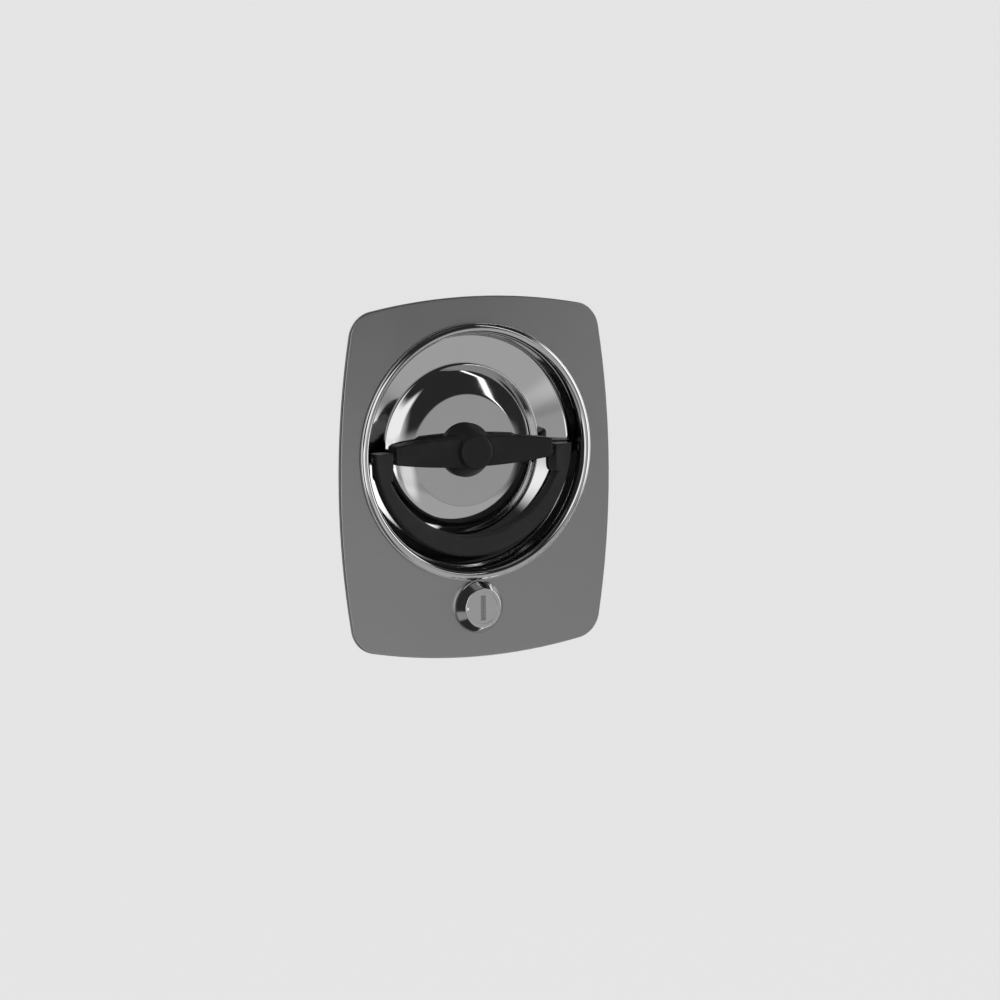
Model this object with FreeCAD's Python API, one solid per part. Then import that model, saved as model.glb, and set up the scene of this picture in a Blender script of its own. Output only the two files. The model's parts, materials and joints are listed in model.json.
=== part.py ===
import FreeCAD, Part
import os
from math import atan2, ceil, cos, degrees, hypot, radians, sin, sqrt, tan

# A flush latch with a folding D shaped ring and a cross bar, for a door or a
# vehicle locker. Lengths are in millimetres. X runs to the viewer's right, Y
# runs back into the panel and Z runs up. The origin is the centre of the four
# mounting studs, on the face of the panel that the gasket lies against.
# A depth is measured backwards from the front of the face plate.

# Clearances, and how far a cutting shape runs past the face that it opens
running_clearance = 0.06
slip_clearance = 0.05
press_clearance = 0.01
end_clearance = 0.3
past = 1.0
root_overlap = 0.5
cutter_margin = 0.2

# Face plate: a land is the flat sheet between the crest of the bead and an edge
side_land = 10.5
top_land = 12.2
side_bow = 6.0
end_bow = 5.8
plate_corner_radius = 11.0
plate_edge_round = 0.5
sheet = 1.5
gasket_thickness = 1.5
gasket_inset = 0.6
spindle_height = 9.8
lock_bead_gap = 0.15

# Pressed dish, in steps outwards from the flat top of the boss to the bead
boss_rim = 3.2
boss_side_run = 11.2
ledge_width = 11.8
wall_lean = 0.71
bead_side = 1.1
bead_height = 0.8
bead_round = 1.9
bead_slope = 40.0
bead_foot_round = 1.0
plateau_depth = 10.0
plateau_round = 2.5
trough_depth = 13.8
trough_round = 2.2
wall_foot_depth = 9.0
wall_foot_round = 2.0
opening_margin = 0.9

# Mounting studs, placed in from the sides and the ends of the plate
stud_side_edge = 14.5
stud_end_edge = 20.0
stud_radius = 2.5
stud_length = 13.0
stud_point = 0.6
stud_hole_clearance = 1.3

# Cross bar with its collar and neck, one casting
bar_middle_height = 12.0
bar_end_height = 7.2
bar_front_rise = -1.0
bar_back_gap = 1.0
bar_edge_round = 0.9
bar_end_round = 1.2
collar_lip = 0.8
collar_rim = 1.6
collar_dome = 4.1
collar_round = 1.5
collar_front_rise = 1.0
collar_gap = 0.3
neck_wall = 3.0

# Folding ring
ring_wall_gap = 2.5
ring_side_band = 2.9
ring_bottom_band = 8.4
ring_front_rise = -0.9
ring_thickness = 6.2
ring_centre_rise = 1.7
ring_edge_round = 1.6
ear_inset = 7.2
ear_thickness = 7.5
ear_top_above_pivot = 2.6
ear_foot_below_pivot = 8.1
ear_width = 5.6
ear_foot_round = 1.2
ear_heel_round = 3.0
ear_top_round = 0.7
ear_edge_round = 0.5
pivot_drop = 1.5
pivot_depth = 5.2

# Pivot pins, their springs and the dogs that stop the ring
pivot_pin_radius = 1.2
pivot_pin_seat = 10.0
pivot_pin_recess = 0.4
spring_wire = 0.4
spring_slack = 0.12
spring_turns = 2.0
spring_coil_gap = 0.05
spring_bend_swell = 0.015
spring_side_gap = 0.1
spring_leg = 1.6
leg_end_gap = 0.2
leg_hole_clearance = 0.12
dog_spring_gap = 0.43
dog_width = 0.85
dog_angle = 30.0
ring_travel = 90.0
ring_dog_start = 120.0
dog_slack = 0.6
dog_side_gap = 0.3

# Hub bushing, seal and spring washer
bushing_wall = 1.94
bushing_flange_width = 4.0
bushing_flange = 2.0
bushing_round = 0.4
seal_step = 1.2
seal_width = 1.6
seal_groove = 0.8
seal_play = 0.1
spring_washer_width = 3.4
spring_washer_height = 1.0
spring_washer_sheet = 0.6

# Spindle and the parts clamped on it
spindle_square = 8.0
spindle_front_cover = 4.0
spindle_end_length = 7.8
spindle_end_round = 0.6
cross_pin_radius = 1.5
cross_pin_recess = 0.4
spacer_wall = 3.8
spacer_flange_width = 2.7
spacer_flange = 1.5
rear_spacer_length = 5.0
stop_plate_sheet = 2.5
stop_plate_rim = 2.5
stop_lug_length = 7.0
stop_lug_width = 8.0
stop_lug_round = 1.0
stop_pin_gap = 2.0
stop_pin_radius = 2.0
stop_pin_angle = 180.0
stop_pin_overhang = 1.0
stop_slot_slack = 0.25
handle_travel = 90.0
cam_sheet = 3.0
cam_hub_wall = 9.0
cam_reach = 60.0
cam_root_inset = 1.0
cam_tip_width = 17.0
cam_tip_round = 5.0
cam_joggle = 3.0
cam_joggle_start = 30.0
cam_joggle_run = 7.0
cam_bend_round = 4.0
washer_width = 5.0
washer_play = 0.2
washer_sheet = 1.2
nut_wall = 2.5
nut_height = 6.2
nut_collar = 1.8
nut_chamfer = 0.7

# Key lock
plug_radius = 5.7
plug_lip = 0.45
plug_head_height = 1.4
plug_recess = 0.2
plug_tail_step = 2.2
plug_tail_corner = 1.1
face_ring = 1.45
face_round = 0.5
face_notch_width = 1.1
face_notch_depth = 0.7
face_notch_margin = 0.25
shoulder_run = 2.8
shoulder_drop = 3.6
shoulder_round = 2.4
lock_head_height = 5.0
barrel_wall = 2.2
barrel_flat = 0.9
barrel_end_wall = 2.4
keyway_width = 2.3
keyway_skin = 0.9
wafer_count = 5
wafer_pitch = 2.6
wafer_sheet = 0.8
wafer_width = 5.2
wafer_sink = 0.7
wafer_window_width = 2.6
wafer_window_step = 1.0
wafer_first_depth = 0.8
chamber_skin = 1.0
lock_washer_width = 2.7
lock_washer_sheet = 1.0
lock_nut_wall = 2.1
lock_nut_height = 5.0
lock_nut_room = 2.0
lock_cam_sheet = 2.5
lock_cam_hub_wall = 4.4
lock_cam_hub_step = 2.0
lock_cam_blade_width = 8.0
lock_cam_crank_round = 4.0
lock_cam_tip_round = 2.5
lock_cam_edge_round = 0.8
lock_cam_lug_gap = 0.3
lock_cam_lug_overlap = 3.6
cam_screw_radius = 2.0
cam_screw_length = 6.0
cam_screw_head = 2.4
cam_screw_head_overhang = 0.5
cam_screw_head_flare = 1.2
cam_screw_head_round = 1.0
cam_screw_recess = 1.3
cam_screw_cross_width = 0.9
cam_screw_cross_length = 2.4

# Depths, worked out from the front of the plate backwards
plate_front = -(gasket_thickness + sheet)
plateau_back = plateau_depth + sheet
bushing_back = plateau_back + bushing_flange
clamp_depth = bushing_back + spring_washer_height
cross_pin_depth = (plateau_depth + bushing_back) / 2
collar_back = plateau_depth - collar_gap
bar_back_depth = plateau_depth - bar_back_gap
bar_thickness = bar_back_depth + bar_front_rise
wafer_chamber_end = wafer_first_depth + wafer_count * wafer_pitch
lock_body_end = max(wafer_chamber_end + barrel_end_wall, clamp_depth + spacer_flange)
stop_plane_depth = lock_body_end + end_clearance
lock_cam_back = stop_plane_depth + lock_cam_sheet
cam_plane_depth = stop_plane_depth + stop_plate_sheet + rear_spacer_length
cam_back_depth = cam_plane_depth + cam_sheet
washer_back_depth = cam_back_depth + washer_sheet

# Radii, worked out from the spindle outwards
spindle_half = spindle_square / 2
neck_radius = spindle_half + neck_wall
seal_inner_radius = neck_radius + seal_step
seal_outer_radius = seal_inner_radius + seal_width
collar_radius = seal_outer_radius + collar_lip
hub_hole_radius = neck_radius + running_clearance + bushing_wall
bushing_flange_radius = hub_hole_radius + bushing_flange_width
spring_washer_radius = neck_radius + spring_washer_width
stop_pin_circle = bushing_flange_radius + stop_pin_gap + stop_pin_radius
stop_plate_radius = stop_pin_circle + stop_pin_radius + stop_plate_rim
stop_lug_radius = stop_plate_radius + stop_lug_length
spacer_radius = spindle_half + spacer_wall
cam_hub_radius = spindle_half + cam_hub_wall
washer_radius = spindle_half + washer_width
nut_flats = 2 * (spindle_half + nut_wall)
plateau_radius = stop_pin_circle + stop_pin_radius + boss_rim
trough_radius = plateau_radius + boss_side_run
wall_foot_radius = trough_radius + ledge_width
wall_top_radius = wall_foot_radius + wall_lean
bead_crest_radius = wall_top_radius + bead_side * bead_round

# Plate and stud pattern, worked out from the bead outwards
plate_width = 2 * (bead_crest_radius + side_land)
plate_height = 2 * (spindle_height + bead_crest_radius + top_land)
stud_spacing_across = plate_width - 2 * stud_side_edge
stud_spacing_up = plate_height - 2 * stud_end_edge

# Ring, pivots and bar, worked out from the wall of the dish inwards
ring_outer_radius = wall_foot_radius - ring_wall_gap
ring_inner_radius = ring_outer_radius - ring_side_band
ring_centre_height = spindle_height + ring_centre_rise
ring_bottom_height = ring_centre_height - ring_outer_radius
inner_centre_height = ring_bottom_height + ring_bottom_band + ring_inner_radius
spring_mean_radius = pivot_pin_radius + spring_slack + spring_wire / 2
dog_inner_radius = spring_mean_radius + spring_wire / 2 + dog_spring_gap
dog_outer_radius = dog_inner_radius + dog_width
bar_leg_angle = ring_dog_start
ring_leg_angle = bar_leg_angle + 360 * spring_turns
pivot_height = spindle_height - pivot_drop
ear_inner = ring_outer_radius - ear_inset
ear_gap = spring_turns * (spring_wire + spring_coil_gap) + spring_wire + 2 * spring_side_gap
bar_end = ear_inner - ear_gap

# Lock, worked out from its plug outwards
plug_head_radius = plug_radius + plug_lip
plug_bore_radius = plug_radius + slip_clearance
plug_tail_square = 2 * (plug_radius - plug_tail_step)
plug_tail_radius = plug_radius - plug_tail_corner
keyway_height = 2 * (plug_radius - keyway_skin)
keyway_end = wafer_chamber_end - wafer_pitch + wafer_sheet + end_clearance
wafer_height = 2 * (plug_radius - wafer_sink)
wafer_window_height = wafer_height - 2 * wafer_window_step
lock_face_radius = plug_head_radius + face_ring
lock_head_radius = lock_face_radius + shoulder_run
lock_head_rim = lock_head_height - shoulder_drop
lock_body_radius = plug_radius + barrel_wall
lock_body_flats = 2 * (lock_body_radius - barrel_flat)
wafer_chamber_reach = lock_body_radius - chamber_skin
lock_washer_radius = lock_body_radius + lock_washer_width
lock_nut_flats = 2 * (lock_body_radius + lock_nut_wall)
lock_opening_radius = lock_nut_flats / sqrt(3) + lock_nut_room
lock_cam_hub_radius = plug_tail_radius + lock_cam_hub_wall
cam_screw_head_radius = plug_tail_radius + cam_screw_head_overhang


def at_depth(depth):
    """Y of a point that lies the given depth behind the front of the plate."""
    return plate_front + depth


def corner_cut(before, corner, after):
    """Tangent points and middle of the arc that rounds one corner."""
    u, v, radius = corner
    to_before = (before[0] - u, before[1] - v)
    to_after = (after[0] - u, after[1] - v)
    length_before = hypot(*to_before)
    length_after = hypot(*to_after)
    back = (to_before[0] / length_before, to_before[1] / length_before)
    on = (to_after[0] / length_after, to_after[1] / length_after)
    bend = abs(atan2(back[0] * on[1] - back[1] * on[0], back[0] * on[0] + back[1] * on[1]))
    reach = radius / tan(bend / 2)
    sink = radius / sin(bend / 2) - radius
    middle = (back[0] + on[0], back[1] + on[1])
    size = hypot(*middle)
    start = (u + back[0] * reach, v + back[1] * reach)
    centre = (u + middle[0] / size * sink, v + middle[1] / size * sink)
    end = (u + on[0] * reach, v + on[1] * reach)
    return start, centre, end


def rounded_wire(corners, place):
    """Closed outline through (u, v, radius) corners; place makes 3-D points."""
    cuts = []
    for index, corner in enumerate(corners):
        before = corners[index - 1]
        after = corners[(index + 1) % len(corners)]
        if corner[2] > 0:
            cuts.append(corner_cut(before, corner, after))
        else:
            cuts.append((corner[:2], None, corner[:2]))
    edges = []
    for index, (start, middle, end) in enumerate(cuts):
        if middle is not None:
            edges.append(Part.Arc(place(*start), place(*middle), place(*end)).toShape())
        next_start = place(*cuts[(index + 1) % len(cuts)][0])
        if next_start.sub(place(*end)).Length > 1e-6:
            edges.append(Part.makeLine(place(*end), next_start))
    return Part.Wire(edges)


def turned(corners, height=spindle_height, x=0.0):
    """Solid of revolution about an axis along Y, from (radius, depth, round) corners."""
    wire = rounded_wire(corners, lambda r, depth: FreeCAD.Vector(x + r, at_depth(depth), height))
    axis_point = FreeCAD.Vector(x, 0, height)
    return Part.Face(wire).revolve(axis_point, FreeCAD.Vector(0, 1, 0), 360)


def ring_band(inner, outer, front, back, height=spindle_height, x=0.0):
    """Plain tube about an axis along Y."""
    return turned([(inner, front, 0), (outer, front, 0), (outer, back, 0), (inner, back, 0)], height, x)


def disc(radius, front, back, height=spindle_height, x=0.0):
    """Plain cylinder about an axis along Y."""
    base = FreeCAD.Vector(x, at_depth(front), height)
    return Part.makeCylinder(radius, back - front, base, FreeCAD.Vector(0, 1, 0))


def plate_of(corners, front, back):
    """Flat piece cut to (x, z, radius) corners, between two depths."""
    wire = rounded_wire(corners, lambda x, z: FreeCAD.Vector(x, at_depth(front), z))
    return Part.Face(wire).extrude(FreeCAD.Vector(0, back - front, 0))


def block(x_low, x_high, front, back, z_low, z_high):
    """Box between two X, two depths and two Z."""
    corner = FreeCAD.Vector(x_low, at_depth(front), z_low)
    return Part.makeBox(x_high - x_low, back - front, z_high - z_low, corner)


def rod_across(radius, x_low, x_high, depth, height):
    """Cylinder along X."""
    base = FreeCAD.Vector(x_low, at_depth(depth), height)
    return Part.makeCylinder(radius, x_high - x_low, base, FreeCAD.Vector(1, 0, 0))


def square_bar(side, front, back, height=spindle_height):
    """Square rod along Y."""
    half = side / 2
    return block(-half, half, front, back, height - half, height + half)


def mirrored(shape):
    """The same shape on the other side of the middle plane."""
    return shape.mirror(FreeCAD.Vector(0, 0, 0), FreeCAD.Vector(1, 0, 0))


def offset_path(path, distance):
    """Move an open path of (u, v, radius) corners sideways, to its left."""
    directions = []
    for first, second in zip(path, path[1:]):
        length = hypot(second[0] - first[0], second[1] - first[1])
        directions.append(((second[0] - first[0]) / length, (second[1] - first[1]) / length))
    moved = []
    for index, (u, v, radius) in enumerate(path):
        into = directions[max(index - 1, 0)]
        out = directions[min(index, len(directions) - 1)]
        share = 1 + into[0] * out[0] + into[1] * out[1]
        shift_u = -(into[1] + out[1]) * distance / share
        shift_v = (into[0] + out[0]) * distance / share
        turn = into[0] * out[1] - into[1] * out[0]
        bent = radius if abs(turn) < 1e-9 else radius - distance * turn / abs(turn)
        moved.append((u + shift_u, v + shift_v, bent))
    return moved


def hexagon(flats, front, back, height, corner_chamfer):
    """Hexagonal nut blank about an axis along Y, with its corners turned off at both ends."""
    reach = flats / sqrt(3)
    corners = []
    for step in range(6):
        angle = radians(60 * step)
        corners.append((reach * cos(angle), height + reach * sin(angle), 0))
    blank = plate_of(corners, front, back)
    rim = reach - corner_chamfer
    turned_off = turned([(0, front, 0), (rim, front, 0), (reach, front + corner_chamfer / 2, 0),
                         (reach, back - corner_chamfer / 2, 0), (rim, back, 0), (0, back, 0)], height)
    return blank.common(turned_off)


def barrel_outline(inset, front, back):
    """The plate's outline, four bowed sides with round corners, drawn in by inset."""
    half_width = plate_width / 2 - inset
    half_height = plate_height / 2 - inset
    corner_x = half_width - side_bow
    corner_z = half_height - end_bow
    side_radius = (corner_z ** 2 + side_bow ** 2) / (2 * side_bow)
    end_radius = (corner_x ** 2 + end_bow ** 2) / (2 * end_bow)
    side_centre = half_width - side_radius
    end_centre = half_height - end_radius
    corner_radius = plate_corner_radius - inset
    side_reach = side_radius - corner_radius
    end_reach = end_radius - corner_radius
    apart = hypot(side_centre, end_centre)
    along = (side_reach ** 2 - end_reach ** 2 + apart ** 2) / (2 * apart)
    across = sqrt(side_reach ** 2 - along ** 2)
    toward = (-side_centre / apart, end_centre / apart)
    centre_x = side_centre + along * toward[0] - across * toward[1]
    centre_z = along * toward[1] + across * toward[0]
    side_angle = atan2(centre_z, centre_x - side_centre)
    end_angle = atan2(centre_z - end_centre, centre_x)
    middle_angle = (side_angle + end_angle) / 2
    side_touch = (centre_x + corner_radius * cos(side_angle), centre_z + corner_radius * sin(side_angle))
    corner_middle = (centre_x + corner_radius * cos(middle_angle),
                     centre_z + corner_radius * sin(middle_angle))
    end_touch = (centre_x + corner_radius * cos(end_angle), centre_z + corner_radius * sin(end_angle))

    def point(x, z):
        return FreeCAD.Vector(x, at_depth(front), z)

    def arc(first, middle, last):
        return Part.Arc(point(*first), point(*middle), point(*last)).toShape()

    edges = []
    for flip_x, flip_z in ((1, 1), (-1, 1), (-1, -1), (1, -1)):
        corner = [(flip_x * x, flip_z * z) for x, z in (side_touch, corner_middle, end_touch)]
        if flip_x * flip_z < 0:
            corner.reverse()
        edges.append(arc(*corner))
    side = side_touch
    end = end_touch
    top = arc((end[0], end[1]), (0, half_height), (-end[0], end[1]))
    left = arc((-side[0], side[1]), (-half_width, 0), (-side[0], -side[1]))
    bottom = arc((-end[0], -end[1]), (0, -half_height), (end[0], -end[1]))
    right = arc((side[0], -side[1]), (half_width, 0), (side[0], side[1]))
    wire = Part.Wire([edges[0], top, edges[1], left, edges[2], bottom, edges[3], right])
    return Part.Face(wire).extrude(FreeCAD.Vector(0, back - front, 0))


def dish_front_path():
    """Front surface of the dish from the hub hole out to the flat of the plate."""
    slope = radians(bead_slope)
    touch_radius = bead_crest_radius + bead_round * sin(slope)
    touch_depth = bead_round * (1 - cos(slope)) - bead_height
    foot_radius = touch_radius - touch_depth / tan(slope)
    wall_top_depth = touch_depth - (touch_radius - wall_top_radius) * tan(slope)
    return [
        (hub_hole_radius, plateau_depth, 0),
        (plateau_radius, plateau_depth, plateau_round),
        (trough_radius, trough_depth, trough_round),
        (wall_foot_radius, wall_foot_depth, wall_foot_round),
        (wall_top_radius, wall_top_depth, bead_round),
        (foot_radius, 0, bead_foot_round),
        (foot_radius + opening_margin, 0, 0),
    ]


dish_front = dish_front_path()
bead_foot_radius = dish_front[-2][0]
panel_opening_radius = dish_front[-1][0]
lock_height = spindle_height - bead_foot_radius - lock_bead_gap - lock_head_radius
lock_cam_reach = spindle_height - stop_lug_radius + lock_cam_lug_overlap - lock_height


def face_plate():
    """Pressed stainless plate: bowed outline, raised bead, dish and boss in one sheet."""
    flange = barrel_outline(0, 0, sheet)
    front_edges = [edge for edge in flange.Edges if edge.BoundBox.YMax < plate_front + 1e-6]
    flange = flange.makeFillet(plate_edge_round, front_edges)
    flange = flange.cut(disc(panel_opening_radius, -past, sheet + past))
    back = offset_path(dish_front, sheet)
    dish = turned(dish_front + back[::-1])
    plate = flange.fuse(dish).removeSplitter()
    plate = plate.cut(lock_hole(slip_clearance, -past, sheet + past))
    return plate.cut(disc(hub_hole_radius, 0, bushing_back))


def lock_hole(clearance, front, back):
    """Round with two flats, the section of the lock's body."""
    round_part = disc(lock_body_radius + clearance, front, back, lock_height)
    half = lock_body_flats / 2 + clearance
    reach = lock_body_radius + past
    return round_part.common(block(-half, half, front, back, lock_height - reach, lock_height + reach))


def panel_gasket():
    """Flat rubber gasket with a keyhole opening and four stud holes."""
    front = sheet
    back = sheet + gasket_thickness
    gasket = barrel_outline(gasket_inset, front, back)
    gasket = gasket.cut(disc(panel_opening_radius, front - past, back + past))
    gasket = gasket.cut(disc(lock_opening_radius, front - past, back + past, lock_height))
    for x, z in stud_places():
        gasket = gasket.cut(disc(stud_radius + stud_hole_clearance, front - past, back + past, z, x))
    return gasket


def stud_places():
    """The four corners of the stud pattern."""
    half_x = stud_spacing_across / 2
    half_z = stud_spacing_up / 2
    return [(x, z) for x in (-half_x, half_x) for z in (-half_z, half_z)]


def mounting_studs():
    """Four studs welded to the back of the plate."""
    tip = sheet + gasket_thickness + stud_length
    shapes = []
    for x, z in stud_places():
        profile = [(0, sheet, 0), (stud_radius, sheet, 0), (stud_radius, tip - stud_point, 0),
                   (stud_radius - stud_point, tip, 0), (0, tip, 0)]
        shapes.append(turned(profile, z, x))
    return Part.makeCompound(shapes)


def stop_pin():
    """Pin welded behind the boss; it runs in the slot of the stop plate."""
    back = stop_plane_depth + stop_plate_sheet + stop_pin_overhang
    x, z = on_stop_circle(stop_pin_angle)
    return disc(stop_pin_radius, plateau_back, back, z, x)


def on_stop_circle(angle):
    """Point on the stop pin's circle, in degrees from +X towards +Z."""
    turn = radians(angle)
    return stop_pin_circle * cos(turn), spindle_height + stop_pin_circle * sin(turn)


def hub_bushing():
    """Flanged bearing in the hub hole."""
    bore = neck_radius + running_clearance
    outside = hub_hole_radius - press_clearance
    return turned([(bore, plateau_depth, 0), (outside, plateau_depth, 0), (outside, plateau_back, 0),
                   (bushing_flange_radius, plateau_back, 0),
                   (bushing_flange_radius, bushing_back, bushing_round),
                   (bore, bushing_back, 0)])


def hub_seal():
    """Soft ring in a groove of the collar; it wipes the boss around the hub."""
    return ring_band(seal_inner_radius, seal_outer_radius, collar_back - seal_groove, plateau_depth)


def spring_washer():
    """Coned spring washer that takes up the play of the handle."""
    inner = neck_radius + 2 * slip_clearance
    lift = spring_washer_height - spring_washer_sheet
    return turned([(inner, bushing_back + lift, 0), (spring_washer_radius, bushing_back, 0),
                   (spring_washer_radius, bushing_back + spring_washer_sheet, 0), (inner, clamp_depth, 0)])


def bar_blank():
    """Bar with bowed top and bottom edges, before the hub is added."""
    half_end = bar_end_height / 2
    half_middle = bar_middle_height / 2
    front = at_depth(-bar_front_rise)

    def point(x, z):
        return FreeCAD.Vector(x, front, spindle_height + z)

    edges = [
        Part.Arc(point(-bar_end, half_end), point(0, half_middle), point(bar_end, half_end)).toShape(),
        Part.makeLine(point(bar_end, half_end), point(bar_end, -half_end)),
        Part.Arc(point(bar_end, -half_end), point(0, -half_middle), point(-bar_end, -half_end)).toShape(),
        Part.makeLine(point(-bar_end, -half_end), point(-bar_end, half_end)),
    ]
    blank = Part.Face(Part.Wire(edges)).extrude(FreeCAD.Vector(0, bar_thickness, 0))
    upright = [edge for edge in blank.Edges if edge.BoundBox.YLength > bar_thickness - 1e-6]
    blank = blank.makeFillet(bar_end_round, upright)
    back = at_depth(bar_back_depth)
    ends = (front, back)
    rims = [edge for edge in blank.Edges
            if edge.BoundBox.YLength < 1e-6 and min(abs(edge.BoundBox.YMin - end) for end in ends) < 1e-6]
    return blank.makeFillet(bar_edge_round, rims)


def dog(start_angle, x_low, x_high):
    """Raised sector around the pivot; angles run from straight down through the front."""
    width = radians(dog_angle)
    start = radians(start_angle)

    def point(radius, angle):
        y = at_depth(pivot_depth) - radius * sin(angle)
        return FreeCAD.Vector(x_low, y, pivot_height - radius * cos(angle))

    middle = start + width / 2
    end = start + width
    edges = [
        Part.Arc(point(dog_outer_radius, start), point(dog_outer_radius, middle),
                 point(dog_outer_radius, end)).toShape(),
        Part.makeLine(point(dog_outer_radius, end), point(dog_inner_radius, end)),
        Part.Arc(point(dog_inner_radius, end), point(dog_inner_radius, middle),
                 point(dog_inner_radius, start)).toShape(),
        Part.makeLine(point(dog_inner_radius, start), point(dog_outer_radius, start)),
    ]
    return Part.Face(Part.Wire(edges)).extrude(FreeCAD.Vector(x_high - x_low, 0, 0))


def leg_hole(x_low, x_high, angle):
    """Small hole along X that takes one leg of a pivot spring."""
    return leg_rod(x_low, x_high, angle, spring_wire / 2 + leg_hole_clearance)


def leg_rod(x_low, x_high, angle, radius):
    """Cylinder along X at the spring's radius, at an angle counted as for the dogs."""
    depth = pivot_depth - spring_mean_radius * sin(radians(angle))
    height = pivot_height - spring_mean_radius * cos(radians(angle))
    return rod_across(radius, x_low, x_high, depth, height)


def handle_bar():
    """Cross bar, collar and neck, cast in one piece."""
    collar = turned([(0, -collar_front_rise, 0),
                     (collar_radius - collar_dome, -collar_front_rise, collar_round),
                     (collar_radius, collar_back - collar_rim, collar_round),
                     (collar_radius, collar_back, 0), (0, collar_back, 0)])
    neck = disc(neck_radius, collar_back - past, clamp_depth)
    bar = bar_blank().fuse(collar).fuse(neck).removeSplitter()
    bar = bar.cut(ring_band(seal_inner_radius - seal_play, seal_outer_radius + seal_play,
                            collar_back - seal_groove, collar_back + cutter_margin))
    spindle_front = spindle_front_cover - bar_front_rise
    bar = bar.cut(square_bar(spindle_square + 2 * slip_clearance, spindle_front, clamp_depth + past))
    pin_height = neck_radius + past
    pin_base = FreeCAD.Vector(0, at_depth(cross_pin_depth), spindle_height - pin_height)
    bar = bar.cut(Part.makeCylinder(cross_pin_radius + press_clearance, 2 * pin_height, pin_base))
    right = end_fittings()
    left = [mirrored(shape) for shape in right]
    for added, cut_away in (right, left):
        bar = bar.fuse(added).cut(cut_away)
    return bar


def end_fittings():
    """The dogs added to the bar's right end, and the holes cut in it."""
    far_edge = ear_inner - dog_side_gap
    first_dog = dog(ring_dog_start - dog_slack - dog_angle, bar_end - root_overlap, far_edge)
    last_start = ring_dog_start + dog_angle + ring_travel + dog_slack
    last_dog = dog(last_start, bar_end - root_overlap, far_edge)
    pin_hole = rod_across(pivot_pin_radius + press_clearance, bar_end - pivot_pin_seat - end_clearance,
                          bar_end + past, pivot_depth, pivot_height)
    spring_hole = leg_hole(bar_end - spring_leg, bar_end + cutter_margin, bar_leg_angle)
    return first_dog.fuse(last_dog), pin_hole.fuse(spring_hole)


def ring_band_solid(front, back):
    """Crescent between the ring's two circles, with its four long edges rounded."""
    outer = turned([(0, front, 0), (ring_outer_radius, front, ring_edge_round),
                    (ring_outer_radius, back, ring_edge_round), (0, back, 0)], ring_centre_height)
    flare = ring_inner_radius + ring_edge_round + cutter_margin
    inner = turned([(0, front - past, 0), (flare, front - past, 0), (flare, front, 0),
                    (ring_inner_radius, front, ring_edge_round), (ring_inner_radius, back, ring_edge_round),
                    (flare, back, 0), (flare, back + past, 0), (0, back + past, 0)], inner_centre_height)
    return outer.cut(inner)


def ear_block(front, back, foot, top):
    """Right ear: an upright block with a rounded heel, trimmed to the ring's outer edge."""
    corners = [(front, top, ear_top_round), (front, foot, 0), (back, foot, ear_heel_round),
               (back, top, ear_top_round)]
    wire = rounded_wire(corners, lambda depth, z: FreeCAD.Vector(ear_inner, at_depth(depth), z))
    block_of_ear = Part.Face(wire).extrude(FreeCAD.Vector(ear_width, 0, 0))
    inner_rim = [edge for edge in block_of_ear.Edges if edge.BoundBox.XMax < ear_inner + 1e-6]
    block_of_ear = block_of_ear.makeFillet(ear_edge_round, inner_rim)
    limit = turned([(0, front, 0), (ring_outer_radius, front, ring_edge_round),
                    (ring_outer_radius, back, ring_edge_round), (0, back, 0)], ring_centre_height)
    return block_of_ear.common(limit)


def d_ring():
    """Folding ring: a crescent band with an ear at each end."""
    front = -ring_front_rise
    band_back = ring_thickness - ring_front_rise
    ear_back = ear_thickness - ring_front_rise
    foot = pivot_height - ear_foot_below_pivot
    top = pivot_height + ear_top_above_pivot
    reach = ring_outer_radius + past
    band = ring_band_solid(front, band_back)
    above = block(-reach, reach, front - past, band_back + past, top, ring_centre_height + reach)
    clear = plate_of([(-ear_inner, top + past, 0), (-ear_inner, foot, ear_foot_round),
                      (ear_inner, foot, ear_foot_round), (ear_inner, top + past, 0)],
                     front - past, band_back + past)
    band = band.cut(above).cut(clear)
    ear = ear_block(front, ear_back, foot, top)
    ring = band.fuse(ear).fuse(mirrored(ear)).removeSplitter()
    near_edge = bar_end + dog_side_gap
    ear_dog = dog(ring_dog_start, near_edge, ear_inner + root_overlap)
    pin_hole = rod_across(pivot_pin_radius + slip_clearance, ear_inner - past, reach,
                          pivot_depth, pivot_height)
    spring_hole = leg_hole(ear_inner - cutter_margin, ear_inner + spring_leg, ring_leg_angle)
    for side_dog, hole in ((ear_dog, pin_hole.fuse(spring_hole)),
                           (mirrored(ear_dog), mirrored(pin_hole.fuse(spring_hole)))):
        ring = ring.fuse(side_dog).cut(hole)
    return ring


def pivot_pin():
    """Right pivot pin, pressed in the bar; the ear turns on it."""
    drop = ring_centre_height - pivot_height
    flush = sqrt(ring_outer_radius ** 2 - drop ** 2)
    return rod_across(pivot_pin_radius, bar_end - pivot_pin_seat, flush - pivot_pin_recess,
                      pivot_depth, pivot_height)


def spring_point(x, angle):
    """Point on the spring's centre line, at an angle counted as for the dogs."""
    depth = pivot_depth - spring_mean_radius * sin(radians(angle))
    height = pivot_height - spring_mean_radius * cos(radians(angle))
    return FreeCAD.Vector(x, at_depth(depth), height)


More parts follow.
